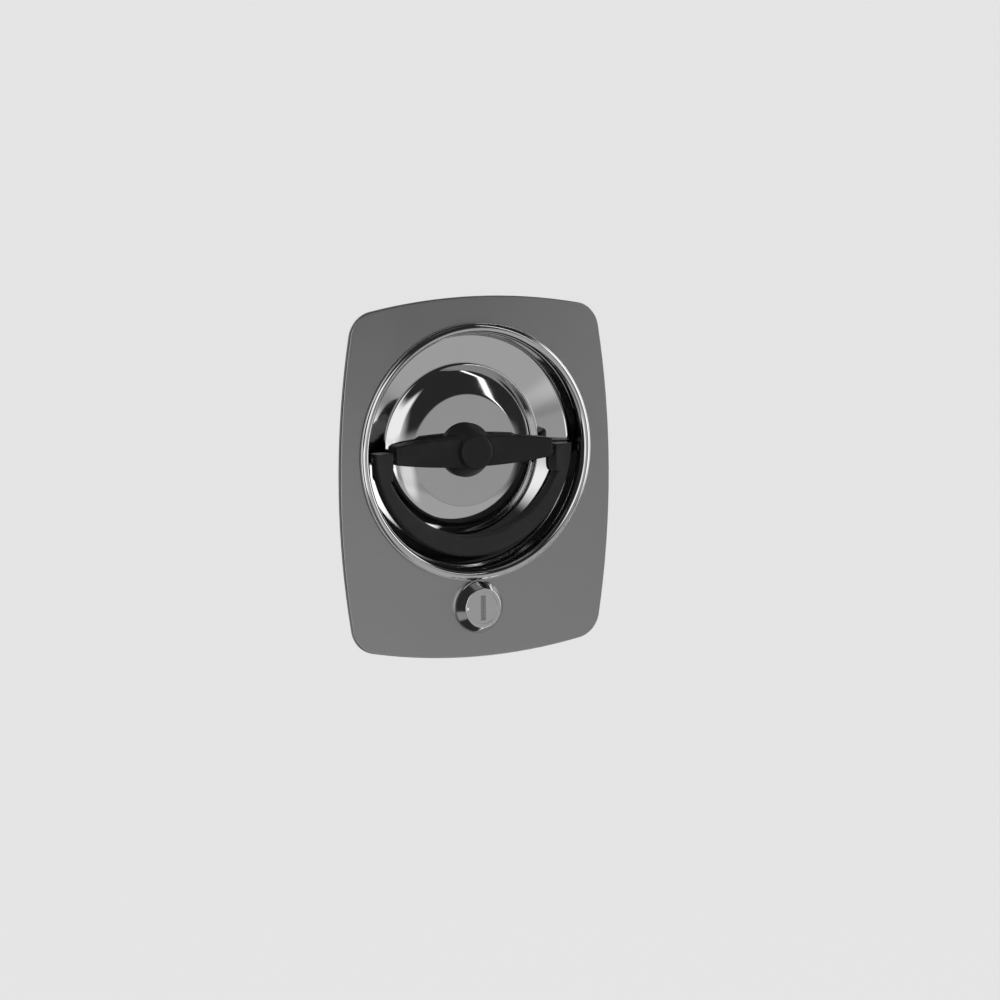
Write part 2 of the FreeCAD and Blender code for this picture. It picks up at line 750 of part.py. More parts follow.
def spring_arc(start_x, end_x, start_angle, end_angle):
    """Up to half a turn of the coil: a round wire bent to an arc that leans across."""
    start = spring_point(start_x, start_angle)
    end = spring_point(end_x, end_angle)
    centre = FreeCAD.Vector((start_x + end_x) / 2, at_depth(pivot_depth), pivot_height)
    crown = spring_point(centre.x, (start_angle + end_angle) / 2) - centre
    axis = (start - centre).cross(crown)
    half_turn = radians(end_angle - start_angle) / 2
    half_sweep = atan2((end - start).Length / 2, spring_mean_radius * cos(half_turn))
    section = Part.makeCircle(spring_wire / 2, start, axis.cross(start - centre))
    return Part.Face(Part.Wire(section)).revolve(centre, axis, degrees(2 * half_sweep))


def pivot_spring():
    """Right torsion spring, coiled on the pivot pin between the bar and the ear."""
    start_x = bar_end + spring_side_gap + spring_wire / 2
    end_x = ear_inner - spring_side_gap - spring_wire / 2
    arcs = ceil(2 * spring_turns)
    bends = [(start_x + (end_x - start_x) * index / arcs,
              bar_leg_angle + 360 * spring_turns * index / arcs) for index in range(arcs + 1)]
    wire = [spring_arc(low[0], high[0], low[1], high[1]) for low, high in zip(bends, bends[1:])]
    wire += [Part.makeSphere(spring_wire / 2 + spring_bend_swell, spring_point(x, angle))
             for x, angle in bends]
    leg = spring_leg - leg_end_gap
    wire.append(leg_rod(bar_end - leg, start_x, bar_leg_angle, spring_wire / 2))
    wire.append(leg_rod(end_x, ear_inner + leg, ring_leg_angle, spring_wire / 2))
    return wire[0].multiFuse(wire[1:])


def spindle():
    """Square spindle with a round threaded end."""
    front = spindle_front_cover - bar_front_rise + end_clearance
    shoulder = cam_back_depth - end_clearance
    shank = square_bar(spindle_square, front, shoulder)
    thread = turned([(0, shoulder, 0), (spindle_half - slip_clearance, shoulder, 0),
                     (spindle_half - slip_clearance, washer_back_depth + spindle_end_length,
                      spindle_end_round),
                     (0, washer_back_depth + spindle_end_length, 0)])
    base = FreeCAD.Vector(0, at_depth(cross_pin_depth), spindle_height - spindle_square)
    hole = Part.makeCylinder(cross_pin_radius + press_clearance, 2 * spindle_square, base)
    return shank.fuse(thread).cut(hole)


def spindle_pin():
    """Cross pin through the neck and the spindle, held in by the bushing."""
    half = neck_radius - cross_pin_recess
    base = FreeCAD.Vector(0, at_depth(cross_pin_depth), spindle_height - half)
    return Part.makeCylinder(cross_pin_radius, 2 * half, base)


def front_spacer():
    """Flanged sleeve between the neck and the stop plate."""
    bore = spindle_half * sqrt(2) + 2 * slip_clearance
    flange_back = clamp_depth + spacer_flange
    flange_radius = spacer_radius + spacer_flange_width
    return turned([(bore, clamp_depth, 0), (flange_radius, clamp_depth, 0),
                   (flange_radius, flange_back, 0), (spacer_radius, flange_back, 0),
                   (spacer_radius, stop_plane_depth, 0), (bore, stop_plane_depth, 0)])


def rear_spacer():
    """Plain sleeve between the stop plate and the latch cam."""
    bore = spindle_half * sqrt(2) + 2 * slip_clearance
    return ring_band(bore, spacer_radius, stop_plane_depth + stop_plate_sheet, cam_plane_depth)


def stop_plate():
    """Disc with a curved slot for the stop pin and a lug that the lock can block."""
    front = stop_plane_depth
    back = stop_plane_depth + stop_plate_sheet
    half_lug = stop_lug_width / 2
    foot = spindle_height - stop_lug_radius
    lug = plate_of([(-half_lug, spindle_height, 0), (-half_lug, foot, stop_lug_round),
                    (half_lug, foot, stop_lug_round), (half_lug, spindle_height, 0)], front, back)
    plate = disc(stop_plate_radius, front, back).fuse(lug).removeSplitter()
    plate = plate.cut(square_bar(spindle_square + 2 * slip_clearance, front - past, back + past))
    half_slot = stop_pin_radius + stop_slot_slack
    inner = stop_pin_circle - half_slot
    outer = stop_pin_circle + half_slot
    lead = degrees(stop_slot_slack / stop_pin_circle)
    ring = ring_band(inner, outer, front - past, back + past)
    start = stop_pin_angle - handle_travel - lead
    end = stop_pin_angle + lead
    sector = slot_sector(start, end, front - past, back + past)
    slot = ring.common(sector)
    for angle in (start, end):
        x, z = on_stop_circle(angle)
        slot = slot.fuse(disc(stop_pin_radius, front - past, back + past, z, x))
    return plate.cut(slot)


def slot_sector(start, end, front, back):
    """Pie slice around the spindle, in degrees from +X towards +Z."""
    reach = 2 * stop_plate_radius
    middle = (start + end) / 2
    corners = [(0, spindle_height, 0)]
    for angle in (start, middle, end):
        corners.append((reach * cos(radians(angle)), spindle_height + reach * sin(radians(angle)), 0))
    return plate_of(corners, front, back)


def latch_cam():
    """Flat cam with a joggle; its tip swings behind the edge of the door frame."""
    middle = cam_plane_depth + cam_sheet / 2
    path = [(-cam_hub_radius, middle, 0), (cam_joggle_start, middle, cam_bend_round),
            (cam_joggle_start + cam_joggle_run, middle - cam_joggle, cam_bend_round),
            (cam_reach, middle - cam_joggle, 0)]
    strip = offset_path(path, cam_sheet / 2) + offset_path(path, -cam_sheet / 2)[::-1]
    low = spindle_height - cam_hub_radius
    wire = rounded_wire(strip, lambda x, depth: FreeCAD.Vector(x, at_depth(depth), low))
    folded = Part.Face(wire).extrude(FreeCAD.Vector(0, 0, 2 * cam_hub_radius))
    half_tip = cam_tip_width / 2
    half_root = cam_hub_radius - cam_root_inset
    front = cam_plane_depth - cam_joggle - past
    back = cam_back_depth + past
    arm = plate_of([(0, spindle_height - half_root, 0),
                    (cam_reach, spindle_height - half_tip, cam_tip_round),
                    (cam_reach, spindle_height + half_tip, cam_tip_round),
                    (0, spindle_height + half_root, 0)], front, back)
    outline = arm.fuse(disc(cam_hub_radius, front, back)).removeSplitter()
    hole = square_bar(spindle_square + 2 * slip_clearance, front - past, back + past)
    return folded.common(outline).cut(hole)


def cam_washer():
    """Washer under the cam nut."""
    return ring_band(spindle_half + washer_play, washer_radius, cam_back_depth, washer_back_depth)


def cam_nut():
    """Locking nut on the end of the spindle: a hexagon with a round collar."""
    front = washer_back_depth
    blank = hexagon(nut_flats, front, front + nut_height - nut_collar, spindle_height, nut_chamfer)
    collar = turned([(0, front + past, 0), (nut_flats / 2 - nut_chamfer, front + past, 0),
                     (nut_flats / 2 - nut_chamfer, front + nut_height, nut_chamfer),
                     (0, front + nut_height, 0)])
    nut = blank.fuse(collar).removeSplitter()
    return nut.cut(disc(spindle_half, front - past, front + nut_height + past))


def lock_barrel():
    """Turned lock housing: round head in front of the plate and a body with two flats."""
    head = turned([(0, -lock_head_height, 0), (lock_face_radius, -lock_head_height, face_round),
                   (lock_head_radius, -lock_head_rim, shoulder_round), (lock_head_radius, 0, 0),
                   (0, 0, 0)], lock_height)
    body = lock_hole(0, -past, lock_body_end)
    barrel = head.fuse(body).removeSplitter()
    barrel = barrel.cut(disc(plug_bore_radius, -lock_head_height - past, lock_body_end + past, lock_height))
    seat_back = plug_head_height - lock_head_height + plug_recess
    barrel = barrel.cut(disc(plug_head_radius + slip_clearance, -lock_head_height - past,
                             seat_back + slip_clearance, lock_height))
    half = wafer_width / 2 + slip_clearance
    chamber_front = wafer_first_depth - wafer_sheet
    chamber = block(-half, half, chamber_front, wafer_chamber_end,
                    lock_height - wafer_chamber_reach, lock_height + wafer_chamber_reach)
    barrel = barrel.cut(chamber)
    half_notch = face_notch_width / 2
    notch = block(face_notch_margin - lock_face_radius, -plug_head_radius - face_notch_margin,
                  -lock_head_height - past, face_notch_depth - lock_head_height,
                  lock_height - half_notch, lock_height + half_notch)
    return barrel.cut(notch)


def wafer_depths():
    """Front face of each wafer."""
    return [wafer_first_depth + index * wafer_pitch for index in range(wafer_count)]


def lock_plug():
    """Turning plug with its keyway, the slots of the wafers and a square tail."""
    front = plug_recess - lock_head_height
    head_back = front + plug_head_height
    tail_front = lock_body_end
    plug = disc(plug_head_radius, front, head_back, lock_height)
    plug = plug.fuse(disc(plug_radius, head_back - root_overlap, tail_front, lock_height))
    tail = square_bar(plug_tail_square, tail_front - past, lock_cam_back - slip_clearance, lock_height)
    tail = tail.common(disc(plug_tail_radius, tail_front - past, lock_cam_back, lock_height))
    plug = plug.fuse(tail).removeSplitter()
    half = keyway_width / 2
    plug = plug.cut(block(-half, half, front - past, keyway_end,
                          lock_height - keyway_height / 2, lock_height + keyway_height / 2))
    slot_half = wafer_width / 2 + slip_clearance
    reach = plug_radius + past
    for depth in wafer_depths():
        slot = block(-slot_half, slot_half, depth - slip_clearance, depth + wafer_sheet + slip_clearance,
                     lock_height - reach, lock_height + reach)
        plug = plug.cut(slot)
    screw_depth = lock_cam_back - cam_screw_length - end_clearance
    screw_bore = disc(cam_screw_radius + press_clearance, screw_depth, lock_cam_back + past, lock_height)
    return plug.cut(screw_bore)


def wafer_tumblers():
    """Flat wafers with a key window, drawn in as they are with the key turned."""
    shapes = []
    for depth in wafer_depths():
        half = wafer_width / 2
        tall = wafer_height / 2
        wafer = block(-half, half, depth, depth + wafer_sheet, lock_height - tall, lock_height + tall)
        window_half = wafer_window_width / 2
        window_tall = wafer_window_height / 2
        window = block(-window_half, window_half, depth - past, depth + wafer_sheet + past,
                       lock_height - window_tall, lock_height + window_tall)
        shapes.append(wafer.cut(window))
    return Part.makeCompound(shapes)


def lock_washer():
    """Washer with two flats behind the plate."""
    washer = disc(lock_washer_radius, sheet, sheet + lock_washer_sheet, lock_height)
    return washer.cut(lock_hole(slip_clearance, sheet - past, sheet + lock_washer_sheet + past))


def lock_nut():
    """Thin hexagon nut that holds the lock in the plate."""
    front = sheet + lock_washer_sheet
    back = front + lock_nut_height
    blank = hexagon(lock_nut_flats, front, back, lock_height, nut_chamfer)
    return blank.cut(disc(lock_body_radius + slip_clearance, front - past, back + past, lock_height))


def lock_cam():
    """Cranked cam of the lock; turned up, its blade stands beside the lug of the stop plate."""
    front = stop_plane_depth
    back = lock_cam_back
    near = stop_lug_width / 2 + lock_cam_lug_gap
    far = near + lock_cam_blade_width
    hub = lock_cam_hub_radius
    side = hub - lock_cam_hub_step
    arm = [(0, side, 0), (-hub / 2, -side, 0), (hub, -far, lock_cam_crank_round),
           (lock_cam_reach, -far, lock_cam_tip_round), (lock_cam_reach, -near, lock_cam_edge_round),
           (hub + near, -near, lock_cam_crank_round), (hub / 2, side, 0)]
    corners = [(along, lock_height + across, radius) for along, across, radius in arm]
    cam = plate_of(corners, front, back).fuse(disc(hub, front, back, lock_height)).removeSplitter()
    hole = square_bar(plug_tail_square + 2 * slip_clearance, front - past, back + past, lock_height)
    hole = hole.common(disc(plug_tail_radius + slip_clearance, front - past, back + past, lock_height))
    return cam.cut(hole)


def lock_cam_screw():
    """Screw with a round head that holds the lock's cam."""
    front = lock_cam_back - cam_screw_length
    head_back = lock_cam_back + cam_screw_head
    shank = disc(cam_screw_radius, front, lock_cam_back + root_overlap, lock_height)
    head = turned([(0, lock_cam_back, 0), (cam_screw_head_radius, lock_cam_back, 0),
                   (cam_screw_head_radius - cam_screw_head_flare, head_back, cam_screw_head_round),
                   (0, head_back, 0)], lock_height)
    recess_front = head_back - cam_screw_recess
    half_width = cam_screw_cross_width / 2
    half_length = cam_screw_cross_length / 2
    recess = block(-half_length, half_length, recess_front, head_back + past,
                   lock_height - half_width, lock_height + half_width)
    recess = recess.fuse(block(-half_width, half_width, recess_front, head_back + past,
                               lock_height - half_length, lock_height + half_length))
    return shank.fuse(head).cut(recess)


def build():
    """Every piece by name."""
    right_pin = pivot_pin()
    right_spring = pivot_spring()
    return {
        "face_plate": face_plate(),
        "panel_gasket": panel_gasket(),
        "mounting_studs": mounting_studs(),
        "stop_pin": stop_pin(),
        "hub_bushing": hub_bushing(),
        "hub_seal": hub_seal(),
        "spring_washer": spring_washer(),
        "handle_bar": handle_bar(),
        "d_ring": d_ring(),
        "pivot_pin_right": right_pin,
        "pivot_pin_left": mirrored(right_pin),
        "ring_spring_right": right_spring,
        "ring_spring_left": mirrored(right_spring),
        "spindle": spindle(),
        "spindle_pin": spindle_pin(),
        "front_spacer": front_spacer(),
        "rear_spacer": rear_spacer(),
        "stop_plate": stop_plate(),
        "latch_cam": latch_cam(),
        "cam_washer": cam_washer(),
        "cam_nut": cam_nut(),
        "lock_barrel": lock_barrel(),
        "lock_plug": lock_plug(),
        "wafer_tumblers": wafer_tumblers(),
        "lock_washer": lock_washer(),
        "lock_nut": lock_nut(),
        "lock_cam": lock_cam(),
        "lock_cam_screw": lock_cam_screw(),
    }


os.makedirs("parts", exist_ok=True)
for name, shape in build().items():
    shape.exportStep("parts/" + name + ".step")
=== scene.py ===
import json
from math import atan2, cos, degrees, hypot, pi, radians, sin, tan

import bpy
from mathutils import Matrix, Vector


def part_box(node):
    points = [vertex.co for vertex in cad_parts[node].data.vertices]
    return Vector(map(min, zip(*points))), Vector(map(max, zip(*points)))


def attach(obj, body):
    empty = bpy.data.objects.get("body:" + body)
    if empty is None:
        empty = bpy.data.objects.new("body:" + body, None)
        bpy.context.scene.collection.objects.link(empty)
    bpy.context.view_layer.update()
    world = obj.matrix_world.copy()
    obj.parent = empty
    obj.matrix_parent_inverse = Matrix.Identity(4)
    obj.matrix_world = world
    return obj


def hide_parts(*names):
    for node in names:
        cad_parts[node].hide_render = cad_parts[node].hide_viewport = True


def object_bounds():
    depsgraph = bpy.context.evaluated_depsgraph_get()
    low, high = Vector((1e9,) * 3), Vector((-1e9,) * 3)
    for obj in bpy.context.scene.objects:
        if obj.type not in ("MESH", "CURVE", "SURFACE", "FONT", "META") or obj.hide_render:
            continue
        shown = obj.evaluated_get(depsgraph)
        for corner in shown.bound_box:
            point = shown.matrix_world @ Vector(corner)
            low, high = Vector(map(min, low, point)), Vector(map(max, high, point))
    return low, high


# A flush ring-handle latch: a pressed stainless plate with a polished dish, a black
# cast bar and folding ring, a chromed key lock, and the zinc-plated works behind.
# Lengths are in metres and angles in degrees, unless a comment says otherwise.

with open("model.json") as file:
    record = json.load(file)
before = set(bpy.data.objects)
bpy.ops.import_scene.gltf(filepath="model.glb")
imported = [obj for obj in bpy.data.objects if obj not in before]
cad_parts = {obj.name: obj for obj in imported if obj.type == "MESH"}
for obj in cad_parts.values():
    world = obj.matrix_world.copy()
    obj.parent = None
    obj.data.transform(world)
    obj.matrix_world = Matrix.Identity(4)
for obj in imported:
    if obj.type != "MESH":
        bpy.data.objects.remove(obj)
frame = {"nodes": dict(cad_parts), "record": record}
nodes = frame["nodes"]
cad_low, cad_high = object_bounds()
seal_low, seal_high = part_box("hub_seal")
dish_centre = (seal_low + seal_high) / 2
plate_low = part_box("face_plate")[0]

# Camera, as the photograph was taken; lens and sensor are in millimetres
VIEW_AZIMUTH = -27.68
VIEW_ELEVATION = 6.69
VIEW_ROLL = -0.31
VIEW_DISTANCE = 2.0
LENS = 186.3
SENSOR = 36.0
NEAREST = 0.05
FARTHEST = 60
PICTURE = 1000
ORIGIN_PIXEL = (473.3, 476.4)


def direction(azimuth, elevation):
    """Unit vector from the object towards a direction; azimuth 0 is straight in front."""
    a = radians(azimuth)
    e = radians(elevation)
    return Vector((sin(a) * cos(e), -cos(a) * cos(e), sin(e)))


def make_camera():
    """The camera keeps the photograph's direction and puts the origin on its pixel."""
    back = direction(VIEW_AZIMUTH, VIEW_ELEVATION)
    level_right = Vector((cos(radians(VIEW_AZIMUTH)), sin(radians(VIEW_AZIMUTH)), 0))
    level_up = back.cross(level_right)
    roll = radians(VIEW_ROLL)
    right = level_right * cos(roll) + level_up * sin(roll)
    up = level_up * cos(roll) - level_right * sin(roll)
    pixel = SENSOR / LENS * VIEW_DISTANCE / PICTURE
    aim = right * (PICTURE / 2 - ORIGIN_PIXEL[0]) * pixel
    aim -= up * (PICTURE / 2 - ORIGIN_PIXEL[1]) * pixel
    data = bpy.data.cameras.new("camera")
    data.lens = LENS
    data.sensor_width = SENSOR
    data.clip_start = NEAREST
    data.clip_end = FARTHEST
    camera = bpy.data.objects.new("camera", data)
    turn = Matrix((right, up, back)).transposed().to_4x4()
    camera.matrix_world = Matrix.Translation(aim + back * VIEW_DISTANCE) @ turn
    bpy.context.scene.collection.objects.link(camera)
    bpy.context.scene.camera = camera


def new_mesh(name, points, faces, material):
    mesh = bpy.data.meshes.new(name)
    mesh.from_pydata(points, [], faces)
    mesh.update()
    mesh.materials.append(material)
    piece = bpy.data.objects.new(name, mesh)
    bpy.context.scene.collection.objects.link(piece)
    return piece


# Sockets of the mix node by number, since many share a name: share, low and high, then output
MIX_SOCKETS = {"RGBA": ((0, 6, 7), 2), "FLOAT": ((0, 2, 3), 0)}


class Graph:
    """A material's or world's node tree, built with short calls."""

    def __init__(self, owner):
        owner.use_nodes = True
        self.tree = owner.node_tree
        self.tree.nodes.clear()

    def add(self, kind, inputs=None, **settings):
        node = self.tree.nodes.new(kind)
        for name, value in settings.items():
            setattr(node, name, value)
        for name, value in (inputs or {}).items():
            self.put(node.inputs[name], value)
        return node

    def put(self, socket, value):
        """Links the socket if the value is another node's output, or else sets it."""
        if isinstance(value, bpy.types.NodeSocket):
            self.tree.links.new(value, socket)
        else:
            socket.default_value = value

    def math(self, operation, first, second=0.0, third=0.0):
        node = self.add("ShaderNodeMath", operation=operation)
        for socket, value in zip(node.inputs, (first, second, third)):
            self.put(socket, value)
        return node.outputs[0]

    def ramp(self, value, low, high, to_low=0.0, to_high=1.0):
        """Smooth step between two values."""
        inputs = {"Value": value, "From Min": low, "From Max": high,
                  "To Min": to_low, "To Max": to_high}
        return self.add("ShaderNodeMapRange", inputs, interpolation_type="SMOOTHSTEP").outputs[0]

    def mix(self, share, low, high, kind="RGBA"):
        """Blend of two colours, or of two plain values with the kind FLOAT."""
        node = self.add("ShaderNodeMix", data_type=kind)
        sockets, output = MIX_SOCKETS[kind]
        for socket, value in zip(sockets, (share, low, high)):
            self.put(node.inputs[socket], value)
        return node.outputs[output]

    def place(self):
        return self.add("ShaderNodeTexCoord").outputs["Object"]

    def noise(self, scale, stretch=(1, 1, 1), detail=3.0, roughness=0.5):
        place = self.add("ShaderNodeMapping", {"Vector": self.place(), "Scale": stretch})
        inputs = {"Vector": place.outputs[0], "Scale": scale,
                  "Detail": detail, "Roughness": roughness}
        return self.add("ShaderNodeTexNoise", inputs).outputs["Fac"]

    def bump(self, height, strength, distance, normal=None):
        inputs = {"Height": height, "Strength": strength, "Distance": distance}
        if normal is not None:
            inputs["Normal"] = normal
        return self.add("ShaderNodeBump", inputs).outputs[0]

    def output(self, shader, kind="Material"):
        self.add("ShaderNodeOutput" + kind, {"Surface": shader.outputs[0]})

    def surface(self, **inputs):
        """Principled surface; an underscore in a name stands for a space."""
        named = {name.replace("_", " "): value for name, value in inputs.items()}
        self.output(self.add("ShaderNodeBsdfPrincipled", named))


def grey(level):
    return (level, level, level, 1.0)


def new_material(name):
    material = bpy.data.materials.new(name)
    return material, Graph(material)


# Steel of the face plate: brushed outside this radius, polished inside it
DISH_EDGE = 0.0497
DISH_BLEND = 0.0006
BRUSH_STRETCH = (60, 60, 9000)
BRUSHED_TONES = (0.37, 0.45)
BRUSHED_ROUGHNESS = (0.30, 0.36)
POLISHED_TONES = (0.60, 0.64)
POLISHED_ROUGHNESS = (0.045, 0.09)


def plate_steel():
    """Brushed stainless, polished inside the bead."""
    material, g = new_material("plate_steel")
    x, _, z = g.add("ShaderNodeSeparateXYZ", {"Vector": g.place()}).outputs
    across = {"X": x, "Z": g.math("SUBTRACT", z, dish_centre.z)}
    flat = g.add("ShaderNodeCombineXYZ", across).outputs[0]
    radius = g.add("ShaderNodeVectorMath", {0: flat}, operation="LENGTH").outputs["Value"]
    brushed = g.ramp(radius, DISH_EDGE - DISH_BLEND, DISH_EDGE + DISH_BLEND)
    grain = g.noise(scale=1.0, stretch=BRUSH_STRETCH, detail=4, roughness=0.6)
    patches = g.noise(scale=45.0, detail=4)
    smear = g.noise(scale=160.0, detail=5, roughness=0.6)
    rough_flat = g.ramp(patches, 0.3, 0.7, *BRUSHED_ROUGHNESS)
    rough_dish = g.ramp(smear, 0.35, 0.75, *POLISHED_ROUGHNESS)
    rough = g.mix(brushed, rough_dish, rough_flat, "FLOAT")
    tone_flat = g.mix(grain, *map(grey, BRUSHED_TONES))
    tone_dish = g.mix(patches, *map(grey, POLISHED_TONES))
    tone = g.mix(brushed, tone_dish, tone_flat)
    waves = g.noise(scale=30.0, detail=1)
    normal = g.bump(waves, strength=0.05, distance=0.002)
    scratches = g.math("MULTIPLY", grain, brushed)
    normal = g.bump(scratches, strength=0.25, distance=0.00005, normal=normal)
    g.surface(Base_Color=tone, Metallic=1.0, Roughness=rough, Normal=normal)
    return material


def black_casting(name, dark, light):
    """Smooth black coat over a casting."""
    material, g = new_material(name)
    flow = g.noise(scale=420.0, detail=3)
    wear = g.noise(scale=90.0, detail=5, roughness=0.65)
    tone = g.mix(g.ramp(wear, 0.45, 0.8), grey(dark), grey(light))
    g.surface(Base_Color=tone, Roughness=g.ramp(wear, 0.3, 0.8, 0.42, 0.58),
              Specular_IOR_Level=0.28, Normal=g.bump(flow, strength=0.10, distance=0.0002))
    return material


def chrome():
    """Bright chrome plate with faint smears."""
    material, g = new_material("lock_chrome")
    smear = g.noise(scale=300.0, detail=4, roughness=0.6)
    g.surface(Base_Color=g.mix(smear, grey(0.62), grey(0.70)), Metallic=1.0,
              Roughness=g.ramp(smear, 0.3, 0.8, 0.07, 0.16),
              Normal=g.bump(smear, strength=0.05, distance=0.0002))
    return material


def rubber():
    """Matt black rubber with a fine grain."""
    material, g = new_material("black_rubber")
    grain = g.noise(scale=1600.0, detail=4)
    dust = g.noise(scale=80.0, detail=5)
    tone = g.mix(g.ramp(dust, 0.45, 0.8), grey(0.016), grey(0.034))
    g.surface(Base_Color=tone, Roughness=g.ramp(dust, 0.3, 0.8, 0.72, 0.9),
              Specular_IOR_Level=0.35, Normal=g.bump(grain, strength=0.3, distance=0.0001))
    return material


def metal(name, dark, light, roughness, grain_scale, grain_strength):
    """Plain machined or pressed metal with uneven tone."""
    material, g = new_material(name)
    grain = g.noise(grain_scale, detail=5, roughness=0.6)
    cloud = g.noise(scale=60.0, detail=3)
    g.surface(Base_Color=g.mix(cloud, (*dark, 1.0), (*light, 1.0)), Metallic=1.0,
              Roughness=g.ramp(grain, 0.3, 0.75, *roughness),
              Normal=g.bump(grain, grain_strength, distance=0.0002))
    return material


# Plain metals: dark and light colour, lowest and highest roughness, scale and strength of grain
METALS = {
    "plate_back": ((0.34, 0.34, 0.34), (0.42, 0.42, 0.42), (0.3, 0.42), 220.0, 0.04),
    "zinc_steel": ((0.50, 0.51, 0.52), (0.60, 0.61, 0.60), (0.28, 0.42), 260.0, 0.05),
    "spring_steel": ((0.34, 0.34, 0.34), (0.46, 0.46, 0.45), (0.2, 0.35), 900.0, 0.1),
    "bearing_bronze": ((0.50, 0.31, 0.14), (0.60, 0.39, 0.19), (0.28, 0.42), 800.0, 0.12),
    "wafer_brass": ((0.62, 0.46, 0.18), (0.70, 0.54, 0.24), (0.22, 0.36), 900.0, 0.1),
}

MATERIALS = {name: metal(name, *look) for name, look in METALS.items()}
MATERIALS["plate_steel"] = plate_steel()
MATERIALS["black_casting"] = black_casting("black_casting", 0.009, 0.016)
MATERIALS["lock_chrome"] = chrome()
MATERIALS["black_rubber"] = rubber()

# The ring's coat is painted a little lighter than the bar's, as a painted sheen for the light
# its face catches
RING_PAINTED_SHEEN = {"d_ring": black_casting("ring_painted_sheen_casting", 0.017, 0.027)}


def dress_nodes():
    """Gives every node the material of its slot, but the ring gets a copy painted lighter as a
    painted sheen.
    """
    for entry in frame["record"]["subparts"]:
        node = nodes[entry["node"]]
        node.data.materials.clear()
        node.data.materials.append(RING_PAINTED_SHEEN.get(entry["node"], MATERIALS[entry["material_slot"]]))


# Outline of the dish in millimetres: radii from its centre, depths behind the flat front
MM_PER_METRE = 1000
HUB_HOLE = 9.0
PLATEAU_EDGE = 15.0
PLATEAU_DEPTH = 10.0

# Slope of the boss's side at each radius, followed in short steps
BOSS_SLOPES = ((21.2, 0.0), (22.6, 0.167), (28.4, 0.265),
               (31.0, 0.590), (32.4, 0.590), (34.2, -0.407))
BOSS_STEP = 0.2

# The wall leans from its foot towards a point high up, and passes two more points there
WALL_FOOT = (45.2, 9.0)
WALL_FOOT_ROUND = 2.0
WALL_FOOT_STEPS = 10
WALL_TOP = (45.56, 3.0)
WALL_MIDDLE = ((45.40, 6.0), (45.52, 4.4))

# The rim is a quarter of an ellipse up to the bead's crest; arcs give angles and steps
CREST_RADIUS = 48.0
CREST_HEIGHT = 0.8
RIM = (2.44, 4.6)
RIM_ARC = (182, 268, 26)

# The bead falls to the flat of the plate by two arcs
BEAD_ROUND = 1.9
BEAD_SLOPE = 40.0
BEAD_STEPS = 12
BEAD_FOOT = 49.645
BEAD_FOOT_ROUND = 1.0
BEAD_FOOT_STEPS = 8
BEAD_END = BEAD_FOOT + BEAD_FOOT_ROUND * tan(radians(BEAD_SLOPE / 2))

# The turned sheet ends in a lip that lies a hair under the flange's own mesh
FLANGE_MARGIN = 0.01
LIP_START = 0.03
LIP_RADIUS = 50.2
LIP_SINK = 0.001
SHEET = 1.5
TURNS = 240


def slope_at(radius):
    """Slope of the boss's side at a radius, worked out between the given ones."""
    for (first, low), (last, high) in zip(BOSS_SLOPES, BOSS_SLOPES[1:]):
        if first <= radius <= last:
            return low + (high - low) * (radius - first) / (last - first)
    return 0.0


def arc_points(centre, size, first, last, count):
    """Points of an ellipse; the angles run from straight out along the radius."""
    points = []
    for index in range(count + 1):
        angle = radians(first + (last - first) * index / count)
        points.append((centre[0] + size[0] * cos(angle), centre[1] + size[1] * sin(angle)))
    return points


def boss_side():
    """Points down the boss's side, from the plateau to the deepest part of the trough."""
    radius = BOSS_SLOPES[0][0]
    depth = PLATEAU_DEPTH
    path = [(radius, depth)]
    while radius < BOSS_SLOPES[-1][0] - BOSS_STEP / 2:
        depth += slope_at(radius + BOSS_STEP / 2) * BOSS_STEP
        radius += BOSS_STEP
        path.append((radius, depth))
    return path


def trough_end(radius, depth):
    """The trough's floor, rising from a point to the wall, and the round at the wall's foot."""
    lean = atan2(depth - WALL_FOOT[1], WALL_FOOT[0] - radius)
    wall_lean = atan2(WALL_TOP[0] - WALL_FOOT[0], WALL_FOOT[1] - WALL_TOP[1])
    reach = WALL_FOOT_ROUND * tan((pi / 2 - wall_lean - lean) / 2)
    start = (WALL_FOOT[0] - reach * cos(lean), WALL_FOOT[1] + reach * sin(lean))
    centre = (start[0] - WALL_FOOT_ROUND * sin(lean), start[1] - WALL_FOOT_ROUND * cos(lean))
    path = [((radius + start[0]) / 2, (depth + start[1]) / 2)]
    path += arc_points(centre, (WALL_FOOT_ROUND, WALL_FOOT_ROUND),
                       90 - degrees(lean), degrees(wall_lean), WALL_FOOT_STEPS)
    return path


def dish_front():
    """Front of the pressed dish from the hub hole out to the flat of the plate."""
    path = [(HUB_HOLE, PLATEAU_DEPTH), (PLATEAU_EDGE, PLATEAU_DEPTH)]
    path += boss_side()
    path += trough_end(*path[-1])
    path += WALL_MIDDLE
    path += arc_points((CREST_RADIUS, RIM[1] - CREST_HEIGHT), RIM, *RIM_ARC)
    path += arc_points((CREST_RADIUS, BEAD_ROUND - CREST_HEIGHT), (BEAD_ROUND, BEAD_ROUND),
                       270, 270 + BEAD_SLOPE, BEAD_STEPS)
    path += arc_points((BEAD_END, -BEAD_FOOT_ROUND), (BEAD_FOOT_ROUND, BEAD_FOOT_ROUND),
                       90 + BEAD_SLOPE, 90, BEAD_FOOT_STEPS)
    path += [(BEAD_END + LIP_START, LIP_SINK), (LIP_RADIUS, LIP_SINK)]
    return path


def path_normals(path):
    """Unit normals of a path, towards the viewer."""
    normals = []
    for index in range(len(path)):
        before = path[max(index - 1, 0)]
        after = path[min(index + 1, len(path) - 1)]
        length = hypot(after[0] - before[0], after[1] - before[1])
        normals.append(((after[1] - before[1]) / length, -(after[0] - before[0]) / length))
    return normals


